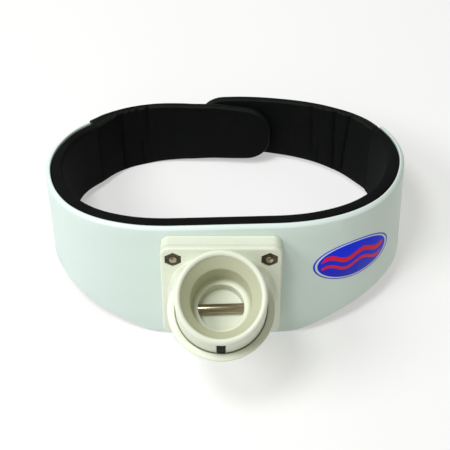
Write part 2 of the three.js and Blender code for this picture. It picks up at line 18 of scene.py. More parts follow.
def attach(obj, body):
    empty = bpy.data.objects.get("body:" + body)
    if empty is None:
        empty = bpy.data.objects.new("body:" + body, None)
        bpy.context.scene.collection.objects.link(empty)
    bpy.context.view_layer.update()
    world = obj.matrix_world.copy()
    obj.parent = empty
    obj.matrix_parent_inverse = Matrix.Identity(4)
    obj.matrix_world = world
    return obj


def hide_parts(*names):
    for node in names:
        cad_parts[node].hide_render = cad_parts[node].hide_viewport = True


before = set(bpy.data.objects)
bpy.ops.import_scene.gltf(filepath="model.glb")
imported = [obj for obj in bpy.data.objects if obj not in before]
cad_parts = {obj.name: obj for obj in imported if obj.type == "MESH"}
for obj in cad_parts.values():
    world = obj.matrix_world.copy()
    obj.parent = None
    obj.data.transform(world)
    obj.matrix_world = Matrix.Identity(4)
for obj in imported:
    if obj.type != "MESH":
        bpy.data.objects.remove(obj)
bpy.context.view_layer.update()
MM = 0.001

# %% [markdown]
# ## The camera
# The camera looks down on the front of the belt by 62 degrees, from about a metre away,
# through a long lens. It comes first, because every later choice is judged through it.

# %% The camera
VIEW_DOWN_DEG = 61.8159
VIEW_DISTANCE = 1045.4
VIEW_TARGET = Vector((-1.13, 20.61, 28.71))
LENS_MM = 92.4


def add_camera():
    down = math.radians(VIEW_DOWN_DEG)
    away = Vector((0, -math.cos(down), math.sin(down)))
    bpy.ops.object.camera_add()
    camera = bpy.context.object
    camera.name = "camera"
    camera.location = (VIEW_TARGET + away * VIEW_DISTANCE) * MM
    camera.rotation_euler = (math.radians(90) - down, 0, 0)
    camera.data.sensor_width = 36
    camera.data.lens = LENS_MM
    camera.data.clip_start = 0.05
    bpy.context.scene.camera = camera
    print("camera at", [round(v / MM) for v in camera.location], "mm")


add_camera()

# %% [markdown]
# ## Sums in the shader
# A finish is a small sum: a noise, times a mask, added to a colour. Wiring each Math node
# by hand hides that sum, so a small class wraps a socket and lets Python's own signs add
# the nodes. A second class holds one material, and one method adds any other node.


# %% A socket that can be used in sums
class Signal:
    def __init__(self, finish, socket):
        self.finish = finish
        self.socket = socket

    def math(self, operation, *others, clamp=False):
        settings = {"operation": operation, "use_clamp": clamp}
        return self.finish.node("ShaderNodeMath", settings, dict(enumerate((self, *others))))

    def __add__(self, other):
        return self.math("ADD", other)

    __radd__ = __add__

    def __sub__(self, other):
        return self.math("SUBTRACT", other)

    def __rsub__(self, other):
        return self.finish.node("ShaderNodeMath", {"operation": "SUBTRACT"}, {0: other, 1: self})

    def __mul__(self, other):
        return self.math("MULTIPLY", other)

    __rmul__ = __mul__

    def __truediv__(self, other):
        return self.math("DIVIDE", other)

    def sine(self):
        return self.math("SINE")

    def ramp(self, low, high):
        """0 below low, 1 above high and smooth between them."""
        settings = {"interpolation_type": "SMOOTHSTEP"}
        ends = {"Value": self, "From Min": low, "From Max": high}
        return self.finish.node("ShaderNodeMapRange", settings, ends)


# %% A material made of nodes
class Finish:
    def __init__(self, name, **constants):
        self.material = bpy.data.materials.new(name)
        self.material.use_nodes = True
        self.tree = self.material.node_tree
        self.shader = self.tree.nodes["Principled BSDF"]
        for socket, value in constants.items():
            self.shader.inputs[socket.replace("_", " ")].default_value = value

    def node(self, kind, settings=None, inputs=None, output=0):
        """Adds one node: its settings first, then the values or links of its sockets."""
        made = self.tree.nodes.new(kind)
        for key, value in (settings or {}).items():
            setattr(made, key, value)
        for key, value in (inputs or {}).items():
            if isinstance(value, Signal):
                self.tree.links.new(value.socket, made.inputs[key])
            else:
                made.inputs[key].default_value = value
        return Signal(self, made.outputs[output])

    def place(self, scale=(1, 1, 1), source="Object", turn=(0, 0, 0), shift=(0, 0, 0)):
        """Coordinates in metres, stretched by scale."""
        at = self.node("ShaderNodeTexCoord", output=source)
        moves = {"Vector": at, "Scale": scale, "Rotation": turn, "Location": shift}
        return self.node("ShaderNodeMapping", {}, moves)

    def noise(self, at, scale, detail=3, roughness=0.5):
        grain = {"Vector": at, "Scale": scale, "Detail": detail, "Roughness": roughness}
        return self.node("ShaderNodeTexNoise", {}, grain)

    def axis(self, at, name):
        return self.node("ShaderNodeSeparateXYZ", {}, {"Vector": at}, output=name)

    def mix(self, factor, first, second):
        """A colour between two colours, by a factor."""
        made = self.tree.nodes.new("ShaderNodeMix")
        made.data_type = "RGBA"
        for key, value in {"Factor": factor, 6: first, 7: second}.items():
            socket = made.inputs[key]
            if isinstance(value, Signal):
                self.tree.links.new(value.socket, socket)
            else:
                socket.default_value = value if isinstance(value, (int, float)) else (*value, 1)
        return Signal(self, made.outputs[2])

    def drive(self, socket, signal):
        self.tree.links.new(signal.socket, self.shader.inputs[socket])

    def painted(self, color, roughness):
        self.drive("Base Color", color)
        self.drive("Roughness", roughness)
        return self.material

    def bump(self, height, distance, strength=1.0):
        """distance is the height in metres that one unit of the signal stands for."""
        relief = {"Height": height, "Distance": distance, "Strength": strength}
        self.drive("Normal", self.node("ShaderNodeBump", {}, relief, "Normal"))


# %% [markdown]
# ## White sheet plastic
# The shell is a satin white sheet with a faint cool tint. Rubbing leaves it a little
# duller in patches, and fine hairline scuffs run along it, so the roughness carries most
# of the story and the colour only a trace of it. Whatever faces up, its cut edge most of
# all, is painted whiter: a painted highlight from the light above.


# %% White sheet plastic
def white_sheet():
    f = Finish("white_sheet_plastic", IOR=1.49)
    at = f.place()
    cloud = f.noise(at, 14, 4, 0.6)
    hair = f.noise(f.place((6, 6, 260)), 9, 2, 0.7)
    scuff = hair.ramp(0.62, 0.74) * cloud.ramp(0.4, 0.65)
    clean = f.mix(cloud.ramp(0.3, 0.75), (0.635, 0.745, 0.71), (0.665, 0.77, 0.735))
    # Painted highlight: faces that point up, mostly the cut edge, are mixed towards a whiter colour.
    painted_top_highlight = f.axis(f.node("ShaderNodeNewGeometry", output="Normal"), "Z").ramp(0.5, 0.85)
    sheet = f.mix(scuff * 0.3, clean, (0.6, 0.69, 0.64))
    color = f.mix(painted_top_highlight * 0.8, sheet, (0.73, 0.82, 0.82))
    f.bump(f.noise(at, 900, 2) * 0.6 + cloud * 0.4, 0.00004, 0.5)
    return f.painted(color, 0.3 + cloud * 0.12 + scuff * 0.18)


WHITE_SHEET = white_sheet()

# %% [markdown]
# ## Off-white moulded plastic
# Housing and cup come out of a mould that was spark-eroded, which leaves a fine even
# grain. The plastic is creamier than the sheet. The inside of the cup is painted darker
# and yellower as painted shade in the recess, by a mask that follows the cup's own axis.

# %% Off-white moulded plastic
# Where the middle of the cup's collar stands, and how far the cup tilts from upright
CUP_CENTRE = Vector((-4.23, -96.81, 107.4))
CUP_TILT = math.radians(-8.184)


def painted_cup_shade(f):
    """Painted shade: 1 on the cup's inner wall, less on its ledge and floor, and 0 outside the cup."""
    shift = Matrix.Rotation(CUP_TILT, 3, "X") @ CUP_CENTRE * -MM
    at = f.place(turn=(CUP_TILT, 0, 0), shift=shift)
    x, y, height = (f.axis(at, name) for name in "XYZ")
    radius = (x * x + y * y).math("SQRT")
    cavity = 1 - radius.ramp(0.0305, 0.0322)
    wall = radius.ramp(0.0205, 0.0225) * 0.75 + 0.25
    return cavity * wall * height.ramp(-0.008, -0.0065)


def cream_moulding():
    f = Finish("cream_moulding", IOR=1.5)
    at = f.place()
    cloud = f.noise(at, 22, 4, 0.55)
    grain = f.noise(at, 1500, 2, 0.6)
    rubbed = f.noise(at, 60, 5, 0.65).ramp(0.56, 0.78)
    clean = f.mix(cloud.ramp(0.3, 0.7), (0.735, 0.77, 0.65), (0.765, 0.795, 0.68))
    handled = f.mix(rubbed * 0.2, clean, (0.66, 0.68, 0.55))
    # Painted shade: the inside of the cup is mixed towards a darker, yellower colour.
    color = f.mix(painted_cup_shade(f), handled, (0.53, 0.545, 0.385))
    f.bump(grain, 0.00003, 0.6)
    return f.painted(color, 0.38 + grain * 0.1 + rubbed * 0.12)


CREAM_MOULDING = cream_moulding()

# %% [markdown]
# ## Black foam
# The liner is closed-cell foam with a skin. Close up the skin shows pores, and from
# further off it is an even black that brightens towards the light at a low angle.


# %% Black foam
def black_foam():
    f = Finish("black_foam", Specular_IOR_Level=0.1, IOR=1.45)
    at = f.place()
    pores = f.node("ShaderNodeTexVoronoi", {}, {"Vector": at, "Scale": 1400}, "Distance")
    cloud = f.noise(at, 40, 4, 0.6)
    dust = f.noise(at, 160, 5, 0.7).ramp(0.6, 0.85)
    skin = f.mix(cloud.ramp(0.3, 0.7), (0.0025, 0.003, 0.003), (0.005, 0.006, 0.006))
    color = f.mix(dust * 0.2, skin, (0.02, 0.022, 0.022))
    f.bump(pores.ramp(0.0, 0.5) + cloud * 0.5, 0.00012, 0.6)
    return f.painted(color, 0.62 + cloud * 0.15)


BLACK_FOAM = black_foam()

# %% [markdown]
# ## Padded cloth and its edging
# The straps are woven cloth over foam. The weave follows the cloth, so it is drawn on the
# piece's own flat pattern, which is laid out in metres before the piece is bent. The
# edging is a ribbed tape with its ribs across it.


# %% Woven cloth
def woven_cloth():
    f = Finish("woven_cloth", Specular_IOR_Level=0.1, IOR=1.45)
    flat = f.place(source="UV")
    along = f.axis(flat, "X") * (math.tau / 0.0011)
    across = f.axis(flat, "Y") * (math.tau / 0.0011)
    over = (along * 0.5).sine() * (across * 0.5).sine()
    warp = along.sine().math("ABSOLUTE") * over.ramp(-0.2, 0.2)
    weft = across.sine().math("ABSOLUTE") * (1 - over.ramp(-0.2, 0.2))
    thread = warp + weft
    cloud = f.noise(f.place(), 55, 4, 0.6)
    dark = f.mix(thread.ramp(0.1, 0.9), (0.001, 0.0011, 0.0012), (0.004, 0.0043, 0.0045))
    color = f.mix(cloud.ramp(0.45, 0.8) * 0.5, dark, (0.006, 0.0065, 0.0065))
    f.bump(thread, 0.00016, 0.6)
    return f.painted(color, 0.72 + cloud * 0.12)


WOVEN_CLOTH = woven_cloth()


# %% Edging tape
def edging_tape():
    f = Finish("edging_tape", Specular_IOR_Level=0.14, IOR=1.45)
    flat = f.place(source="UV")
    rib = (f.axis(flat, "X") * (math.tau / 0.0009)).sine() * 0.5 + 0.5
    cloud = f.noise(f.place(), 90, 3, 0.6)
    color = f.mix(rib * cloud.ramp(0.2, 0.7), (0.003, 0.004, 0.0034), (0.012, 0.0155, 0.013))
    f.bump(rib, 0.0002, 0.5)
    return f.painted(color, 0.55 + cloud * 0.15)


EDGING_TAPE = edging_tape()


# %% Hook and loop tape
def hook_and_loop():
    f = Finish("hook_and_loop_tape", Specular_IOR_Level=0.1, IOR=1.45)
    at = f.place()
    edges = {"feature": "DISTANCE_TO_EDGE"}
    loops = f.node("ShaderNodeTexVoronoi", edges, {"Vector": at, "Scale": 900}, "Distance")
    fuzz = f.noise(at, 2400, 4, 0.8)
    color = f.mix(fuzz, (0.002, 0.002, 0.0022), (0.01, 0.01, 0.011))
    f.bump(loops.ramp(0, 0.2) + fuzz, 0.0003, 0.8)
    return f.painted(color, 0.85 + fuzz * 0.1)


HOOK_AND_LOOP = hook_and_loop()

# %% [markdown]
# ## Steel, black plastic and the printed label
# The pin was turned on a lathe, so its fine lines run round it.
# The nuts are darker and their faces are smooth. The small key is plain black plastic.
# The label is a plain blue oval with a light edge and two red waves.


# %% Turned steel
def turned_steel():
    f = Finish("turned_steel", Metallic=1.0)
    at = f.place()
    lines = f.noise(f.place((900, 20, 20)), 1, 2, 0.5)
    cloud = f.noise(at, 40, 2)
    color = f.mix(cloud.ramp(0.3, 0.7), (0.37, 0.3, 0.215), (0.43, 0.36, 0.27))
    return f.painted(color, 0.19 + lines * 0.06)


TURNED_STEEL = turned_steel()


# %% Dark steel of the nuts
def nut_steel():
    f = Finish("nut_steel", Metallic=1.0)
    at = f.place()
    cloud = f.noise(at, 260, 4, 0.6)
    color = f.mix(cloud.ramp(0.35, 0.7), (0.065, 0.055, 0.04), (0.13, 0.112, 0.085))
    f.bump(cloud, 0.00003, 0.5)
    return f.painted(color, 0.26 + cloud * 0.2)


NUT_STEEL = nut_steel()


# %% Black plastic of the key
def black_plastic():
    f = Finish("black_plastic", Specular_IOR_Level=0.06, IOR=1.5)
    grain = f.noise(f.place(), 1600, 2, 0.6)
    color = f.mix(grain, (0.002, 0.002, 0.0025), (0.005, 0.005, 0.0055))
    f.bump(grain, 0.00003, 0.6)
    return f.painted(color, 0.5 + grain * 0.15)


BLACK_PLASTIC = black_plastic()


# %% Printed label
LABEL_AT = 113
LABEL_DROP = 48
LABEL_WIDTH = 76
LABEL_HEIGHT = 42


def printed_label():
    f = Finish("printed_label", Specular_IOR_Level=0.12, IOR=1.5)
    middle = (-LABEL_AT * MM, LABEL_DROP * MM, 0)
    flat = f.place(source="UV", shift=middle)
    x = f.axis(flat, "X") / (LABEL_WIDTH / 2 * MM)
    y = f.axis(flat, "Y") / (LABEL_HEIGHT / 2 * MM)
    from_middle = x * x + y * y
    edge = from_middle.ramp(0.8, 0.84) * (1 - from_middle.ramp(0.9, 0.94))
    inside = 1 - from_middle.ramp(0.66, 0.7)
    swell = (x * 7.5).sine() * 0.14
    upper = (y - swell - 0.2).math("ABSOLUTE")
    lower = (y - swell + 0.26).math("ABSOLUTE")
    waves = (1 - upper.ramp(0.1, 0.14) * lower.ramp(0.06, 0.1)) * inside
    speckle = f.noise(f.place(), 700, 3)
    field = f.mix(y.ramp(-1.0, 1.0), (0.001, 0.008, 0.62), (0.003, 0.022, 0.85))
    field = f.mix(speckle * 0.06, field, (0.02, 0.05, 0.5))
    striped = f.mix(waves, field, (0.75, 0.004, 0.03))
    color = f.mix(edge, striped, (0.66, 0.72, 0.72))
    return f.painted(color, 0.3 + speckle * 0.12)


PRINTED_LABEL = printed_label()
print(len(bpy.data.materials), "finishes")

# %% [markdown]
# ## Working like a modeller
# Each piece starts as a primitive and is shaped in edit mode. A few helpers keep the
# steps short: clear the selection, select by a rule, and put the finished piece where the
# belt stands. The pieces are drawn with the belt upright, and are then leaned back
# onto their lower edges, as the belt stands on a table.

# %% Selecting and finishing
LEAN_DEG = 19.8159
STAND_AT = Vector((-1.7297, -31.1618, 121.0294))


def deselect():
    if bpy.context.mode != "OBJECT":
        bpy.ops.object.mode_set(mode="OBJECT")
    bpy.ops.object.select_all(action="DESELECT")


def activate(piece):
    deselect()
    piece.select_set(True)
    bpy.context.view_layer.objects.active = piece


def points_of(piece):
    flat = np.empty(len(piece.data.vertices) * 3)
    piece.data.vertices.foreach_get("co", flat)
    return flat.reshape(-1, 3) / MM


def set_points(piece, points):
    piece.data.vertices.foreach_set("co", (np.asarray(points) * MM).ravel())
    piece.data.update()


def edit(mode="FACE"):
    bpy.ops.object.mode_set(mode="EDIT")
    bpy.ops.mesh.select_mode(type=mode)


def select_where(piece, rule, mode="FACE"):
    """Goes into edit mode and selects the faces or edges that the rule says yes to."""
    edit(mode)
    bpy.ops.mesh.select_all(action="DESELECT")
    bm = bmesh.from_edit_mesh(piece.data)
    for part in {"FACE": bm.faces, "EDGE": bm.edges}[mode]:
        if rule(part):
            part.select_set(True)
    bmesh.update_edit_mesh(piece.data)


def select_all():
    bpy.ops.mesh.select_all(action="SELECT")


def leave_edit():
    bpy.ops.object.mode_set(mode="OBJECT")


def add_mesh(add_primitive, name, **settings):
    """Adds one primitive with nothing else selected."""
    deselect()
    add_primitive(**settings)
    piece = bpy.context.object
    piece.name = name
    return piece


def face_out():
    """Points every face outwards and leaves edit mode."""
    select_all()
    bpy.ops.mesh.normals_make_consistent(inside=False)
    leave_edit()


def add_modifier(piece, kind, **settings):
    activate(piece)
    bpy.ops.object.modifier_add(type=kind)
    made = piece.modifiers[-1]
    for key, value in settings.items():
        setattr(made, key, value)
    bpy.ops.object.modifier_apply(modifier=made.name)


def combine(piece, other, operation):
    """Joins another solid to the piece, or cuts it away, and removes the other."""
    add_modifier(piece, "BOOLEAN", object=other, operation=operation, solver="EXACT")
    bpy.data.objects.remove(other)


def smooth(piece, degrees):
    activate(piece)
    bpy.ops.object.shade_smooth_by_angle(angle=math.radians(degrees))


def stand(piece, node, material, degrees=35):
    """Leans the piece onto the table, gives it its finish and lets it stand for its node."""
    activate(piece)
    piece.rotation_euler = (-math.radians(LEAN_DEG), 0, 0)
    piece.location = STAND_AT * MM
    bpy.ops.object.transform_apply(location=True, rotation=True, scale=True)
    smooth(piece, degrees)
    if not piece.data.materials:
        piece.data.materials.append(material)
    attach(piece, "root")
    if node:
        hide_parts(node)
    extent = np.ptp(points_of(piece), axis=0).round(1)
    print(piece.name, extent, "mm,", len(piece.data.polygons), "faces")


# %% [markdown]
# ## The loop round the waist
# Everything that wraps the waist is made as its maker makes it: cut flat, then bent. The
# bend is a Curve modifier, and its curve is the loop seen from above. Half of the loop
# is a short table of shares of the belt's width and depth, mirrored for the other half.

# %% The loop's curve
BELT_WIDTH = 312
BELT_DEPTH = 172.5
ROLL = math.tan(math.radians(1.9))
HALF_PLAN = [
    (0, 0), (0.2, 0), (0.33, 0.0015), (0.45, 0.012), (0.56, 0.034), (0.67, 0.069), (0.77, 0.119),
    (0.86, 0.188), (0.935, 0.285), (0.98, 0.39), (1, 0.505), (0.99, 0.605), (0.955, 0.7),
    (0.885, 0.8), (0.765, 0.89), (0.62, 0.953), (0.45, 0.99), (0.25, 1), (0, 1),
]


def smooth_loop(corners, steps=60):
    """A closed centripetal curve through the corners."""
    made = []
    count = len(corners)
    for i in range(count):
        p0, p1, p2, p3 = (corners[(i + k - 1) % count] for k in range(4))
        d0, d1, d2 = (np.linalg.norm(b - a) ** 0.5 for a, b in ((p0, p1), (p1, p2), (p2, p3)))
        leave = ((p1 - p0) / d0 - (p2 - p0) / (d0 + d1) + (p2 - p1) / d1) * d1
        arrive = ((p2 - p1) / d1 - (p3 - p1) / (d1 + d2) + (p3 - p2) / d2) * d1
        for t in np.arange(steps) / steps:
            bend = -3 * p1 + 3 * p2 - 2 * leave - arrive
            made.append(p1 + leave * t + bend * t**2 + (2 * p1 - 2 * p2 + leave + arrive) * t**3)
    return np.array(made + made[:1])


half = [np.array((side * BELT_WIDTH / 2, back * BELT_DEPTH)) for side, back in HALF_PLAN]
loop = smooth_loop(half + [p * (-1, 1) for p in half[-2:0:-1]])
travel = np.concatenate([[0], np.cumsum(np.linalg.norm(np.diff(loop, axis=0), axis=1))])
LOOP = travel[-1]
HALF_LOOP = LOOP / 2
PATH_START = HALF_LOOP + 80


def loop_at(distance):
    """Where the outer face is, at a distance to the right of the front centre."""
    d = np.mod(distance, LOOP)
    return np.stack([np.interp(d, travel, loop[:, 0]), np.interp(d, travel, loop[:, 1])], -1)


def top_edge(distance):
    return loop_at(distance)[..., 0] * ROLL


def add_path():
    deselect()
    bpy.ops.curve.primitive_nurbs_path_add()
    path = bpy.context.object
    path.name = "waist_path"
    path.data.twist_mode = "Z_UP"
    spline = path.data.splines[0]
    spline.type = "POLY"
    places = loop_at(np.arange(-PATH_START, PATH_START + 2, 2.0)) * MM
    spline.points.add(len(places) - len(spline.points))
    for point, (x, y) in zip(spline.points, places):
        point.co = (x, y, 0, 1)
    path.hide_render = True
    return path


PATH = add_path()
print("loop", round(LOOP, 1), "mm round")

# %% [markdown]
# ## Cutting and bending a blank
# A blank is cut from its outline, given its thickness, rounded along its rim and sliced
# into narrow columns so that it can bend. X runs along the loop, Y goes in from the outer
# face, and Z is up. Its flat pattern is kept as its UV map, in metres.


# %% Cutting, slicing and bending
def cut_blank(name, outline, outer, inner):
    """A flat solid from its outline, a list of (distance, height), between two depths."""
    circle = bpy.ops.mesh.primitive_circle_add
    piece = add_mesh(circle, name, vertices=len(outline), fill_type="NGON")
    set_points(piece, [(x, inner, z) for x, z in outline])
    edit()
    select_all()
    way = (0, (outer - inner) * MM, 0)
    bpy.ops.mesh.extrude_region_move(TRANSFORM_OT_translate={"value": way})
    face_out()
    return piece


def is_side(face):
    return abs(face.normal.y) < 0.5


def round_rim(piece, radius, segments, depth=None, flat_ends=(), profile=0.5):
    """Rounds both edges of the rim, or those at one depth, and leaves flat ends sharp."""

    def chosen(edge):
        if len(edge.link_faces) != 2 or is_side(edge.link_faces[0]) == is_side(edge.link_faces[1]):
            return False
        if depth is not None and abs(edge.verts[0].co.y / MM - depth) > 0.01:
            return False
        return not any(all(abs(v.co.x / MM - end) < 0.01 for v in edge.verts) for end in flat_ends)

    select_where(piece, chosen, "EDGE")
    bpy.ops.mesh.bevel(
        offset=radius * MM, segments=segments, profile=profile, affect="EDGES", clamp_overlap=False
    )
    leave_edit()


def slice_blank(piece, columns, rows):
    """Cuts the blank through at every column distance and row height."""
    edit("EDGE")
    for normal, places in (((1, 0, 0), columns), ((0, 0, 1), rows)):
        for place in places:
            select_all()
            co = tuple(place * MM * n for n in normal)
            bpy.ops.mesh.bisect(plane_co=co, plane_no=normal)
    leave_edit()


def lay_pattern(piece):
    """The flat pattern as the UV map: distance along, and height plus the way over the rim."""
    places = points_of(piece) * MM
    layer = piece.data.uv_layers.active or piece.data.uv_layers.new(name="pattern")
    corners = np.empty(len(piece.data.loops), int)
    piece.data.loops.foreach_get("vertex_index", corners)
    along, depth, height = places[corners].T
    layer.data.foreach_set("uv", np.stack([along, height + 0.4 * depth], -1).ravel())


def bend(piece):
    """Wraps the blank round the waist's path."""
    set_points(piece, points_of(piece) + (PATH_START, 0, 0))
    add_modifier(piece, "CURVE", object=PATH, deform_axis="POS_X")


def bar_along_y(x, z, radius, front, back, corners=48):
    cylinder = bpy.ops.mesh.primitive_cylinder_add
    long = (back - front) * MM
    bar = add_mesh(cylinder, "bar", vertices=corners, radius=radius * MM, depth=long)
    set_points(bar, points_of(bar)[:, [0, 2, 1]] * (1, -1, 1) + (x, (front + back) / 2, z))
    return bar


def bore(piece, places, radius, front, back):
    """Drills holes along Y."""
    for x, z in places:
        combine(piece, bar_along_y(x, z, radius, front, back), "DIFFERENCE")


# %% [markdown]
# ## The shell
# The shell is 4 mm sheet, tall in front and low at its ends. The lower edges of the shell
# and of its liner are one table of shares of its height. Its outer edge has a wide,
# slightly flat rounding, and its right side leans out a little towards the lower edge.

# %% The shell's tables
SHELL_HEIGHT = 127
REACH_LEFT = 277
REACH_RIGHT = 251
SHELL_WALL = 4
SHELL_CORNER = 2.5
OUTER_ROUNDING = 3.1
INNER_ROUNDING = 0.6
LEAN_OUT = 3.5
GAP = 0.3
LOWER_EDGES = [
    (0, 1, 0.98), (0.22, 0.995, 0.975), (0.287, 0.945, 0.925), (0.364, 0.876, 0.857),
    (0.44, 0.822, 0.803), (0.5, 0.776, 0.757), (0.545, 0.744, 0.725), (0.61, 0.722, 0.703),
    (0.74, 0.718, 0.694), (0.8, 0.71, 0.668), (0.852, 0.668, 0.625), (0.906, 0.635, 0.582),
    (1, 0.58, 0.556),
]


def eased(rows, column, x):
    """A smooth value between the rows of a table."""
    keys = np.array([row[0] for row in rows], float)
    values = np.array([row[column] for row in rows], float)
    last = len(keys) - 1
    before = np.maximum(np.arange(last + 1) - 1, 0)
    after = np.minimum(np.arange(last + 1) + 1, last)
    slopes = (values[after] - values[before]) / (keys[after] - keys[before])
    x = np.clip(x, keys[0], keys[-1])
    i = np.clip(np.searchsorted(keys, x) - 1, 0, last - 1)
    span = keys[i + 1] - keys[i]
    t = (x - keys[i]) / span
    ease = t * t * (3 - 2 * t)
    leave = t * (1 - t) ** 2 * span * slopes[i]
    arrive = t * t * (t - 1) * span * slopes[i + 1]
    return values[i] + (values[i + 1] - values[i]) * ease + leave + arrive


def smoothstep(t):
    c = np.clip(t, 0, 1)
    return c * c * (3 - 2 * c)


def outline_between(start, end, top, bottom, corner_start, corner_end, step=4.0):
    """A strip's outline from its top and bottom heights, with rounded corners at each end."""
    inner = np.arange(start + corner_start, end - corner_end, step)
    turns = np.radians(np.linspace(0, 90, 9))
    first = start + corner_start * (1 - np.cos(turns)) if corner_start else np.array([start])
    final = end - corner_end * (1 - np.cos(turns[::-1])) if corner_end else np.array([end])
    xs = np.unique(np.round(np.concatenate([first, inner[1:], final]), 4))

    def pull(x):
        made = np.zeros_like(x)
        for away, radius in ((x - start, corner_start), (end - x, corner_end)):
            if radius:
                d = np.clip(radius - away, 0, radius)
                made += radius - np.sqrt(np.maximum(radius**2 - d**2, 0))
        return made

    upper = [(x, z) for x, z in zip(xs, top(xs) - pull(xs))]
    lower = [(x, z) for x, z in zip(xs, bottom(xs) + pull(xs))]
    return lower + upper[::-1]


def lower_edge(x, column):
    return -SHELL_HEIGHT * eased(LOWER_EDGES, column, np.abs(x) / REACH_LEFT)


def shell_bottom(x):
    return lower_edge(x, 1)


def lean_out(piece):
    """Leans the right side out, fully at its lower edge, for all that lies on the shell."""
    points = points_of(piece)
    x, z = points[:, 0], points[:, 2]
    rise = smoothstep((x / REACH_RIGHT - 0.48) / 0.2)
    fall = smoothstep((x / REACH_RIGHT - 0.82) / 0.18)
    share = (z - top_edge(x)) / (top_edge(x) - shell_bottom(x))
    points[:, 1] += LEAN_OUT * rise * (1 - fall) * share
    set_points(piece, points)


# %% The shell
PLATE_SHIFT = -2.5
NUT_X = (PLATE_SHIFT - 39.5, PLATE_SHIFT + 39.5)
NUT_Z = -21.0
BOLT_RADIUS = 3


def make_shell():
    corners = (SHELL_CORNER, SHELL_CORNER)
    outline = outline_between(-REACH_LEFT, REACH_RIGHT, top_edge, shell_bottom, *corners)
    piece = cut_blank("shell_sheet", outline, 0, SHELL_WALL)
    round_rim(piece, OUTER_ROUNDING, 8, depth=0, profile=0.36)
    round_rim(piece, INNER_ROUNDING, 3, depth=SHELL_WALL)
    slice_blank(piece, np.arange(-REACH_LEFT + 1, REACH_RIGHT, 2.5), np.arange(-120, 4, 15))
    lean_out(piece)
    lay_pattern(piece)
    bend(piece)
    bore(piece, [(x, NUT_Z) for x in NUT_X], BOLT_RADIUS + GAP, -SHELL_WALL, SHELL_WALL * 2)
    stand(piece, "shell", WHITE_SHEET)


make_shell()

# %% [markdown]
# ## The foam liner
# The liner is a thick foam strip behind the shell. It stops just under the shell's top
# edge and a millimetre past its ends, and its lower edge lifts near the right end. Foam is
# cut with a blade and its edges soften, so its rim has a wide rounding.

# %% The foam liner
LINER_OUTER = SHELL_WALL + GAP
LINER_THICK = 9
LINER_INNER = LINER_OUTER + LINER_THICK
FOAM_SWELL = 2.2
LINER_PAST = 1
LINER_FROM = -(REACH_LEFT + LINER_PAST)
LINER_TO = REACH_RIGHT + LINER_PAST
LINER_BELOW = 0.6
LIFT, LIFT_START, LIFT_RUN = 5.2, 222, 27
SOFT_ROUNDING = 2.5
HEAD_RADIUS = 6.5
POCKET_BACK = 7.3


def liner_top(x):
    return top_edge(x) - LINER_BELOW


def liner_bottom(x):
    return lower_edge(x, 2) + LIFT * smoothstep((x - LIFT_START) / LIFT_RUN)


def make_liner():
    outline = outline_between(LINER_FROM, LINER_TO, liner_top, liner_bottom, 0, 0)
    piece = cut_blank("liner_foam", outline, LINER_OUTER, LINER_INNER)
    round_rim(piece, SOFT_ROUNDING, 4, flat_ends=(LINER_FROM, LINER_TO))
    slice_blank(piece, np.arange(LINER_FROM + 1, LINER_TO, 3), np.arange(-118, 2, 12))
    points = points_of(piece)
    x, depth = points[:, 0], (points[:, 1] - LINER_OUTER) / LINER_THICK
    points[:, 1] += FOAM_SWELL * smoothstep((235 - np.abs(x)) / 60) * depth
    set_points(piece, points)
    lean_out(piece)
    lay_pattern(piece)
    bend(piece)
    bore(piece, [(x, NUT_Z) for x in NUT_X], HEAD_RADIUS + GAP, 0, POCKET_BACK)
    stand(piece, "foam_liner", BLACK_FOAM)


make_liner()

# %% [markdown]
# ## The padded straps
# Each strap is two cloths over foam, sewn together under an edging, which leaves two
# rolls with a groove between them all round the rim. It is cut as a blank, its rim is
# rounded, and the groove is an inset of the rim's middle faces. Near the seam the inner
# cloth is gathered: deep narrow creases run down it and the edging puckers. Where a strap
# stands on the table its soft edge flattens.

# %% The straps' tables
STRAP_THICK = 8
STRAP_HEIGHT = 62
STRAP_CORNER = 22
ROLL_WIDTH, GROOVE_DEPTH = 0.7, 1.1
STRAP_STEP = 40
LEFT_PAST = 43
RIGHT_PAST = 23
PATCH_THICK = 1.6
LAP = STRAP_THICK + PATCH_THICK + 2 * GAP
WHOLE = {"left": HALF_LOOP + LINER_FROM - GAP, "right": HALF_LOOP - LINER_TO - GAP}
SEAM_AT = {"left": GAP - LINER_FROM, "right": GAP + LINER_TO}
STRAP_DROP = [
    (0, 1.12), (0.1, 1.09), (0.2, 1.075), (0.3, 1.06), (0.4, 1.035), (0.5, 1.012), (0.6, 0.996),
    (0.75, 0.978), (0.9, 0.962), (1, 0.955), (1.15, 0.935), (1.35, 0.9),
]
# How each strap runs: way from its seam to the back centre, then shares of its thickness
# inwards, of the step over the other strap, and of its height sagged at the top and the bottom
STRAP_RUN = {
    "left": [
        (0, -0.4, 0, 0, 0), (0.1, -0.42, 0, 0, 0.01), (0.25, -0.42, 0, 0, 0.045), (0.4, -0.46, 0, 0, 0.06),
        (0.55, -0.42, 0, 0, 0.05), (0.68, -0.27, 0, 0, 0.035), (0.78, -0.07, 0, 0, 0.025),
        (0.86, 0, 0, 0, 0.018), (0.95, 0.05, 0, 0.005, 0.02), (1.07, 0.25, 0, 0.03, 0.022),
        (1.15, 0.38, 0, 0.05, 0.025), (1.25, 0.5, 0, 0.08, 0.03), (1.4, 0.6, 0, 0.12, 0.03),
    ],
    "right": [
        (0, 0.3, 0, 0, 0.02), (0.12, 0.3, 0, 0, 0.042), (0.3, 0.28, 0.06, 0, 0.006), (0.42, 0.2, 0.18, 0, 0),
        (0.55, 0.1, 0.34, 0, 0), (0.65, 0, 0.5, 0, 0), (0.74, 0, 0.72, 0, 0), (0.84, 0, 0.9, 0, 0),
        (0.93, 0, 1, 0, 0), (1.2, 0, 1, 0, 0),
    ],
}
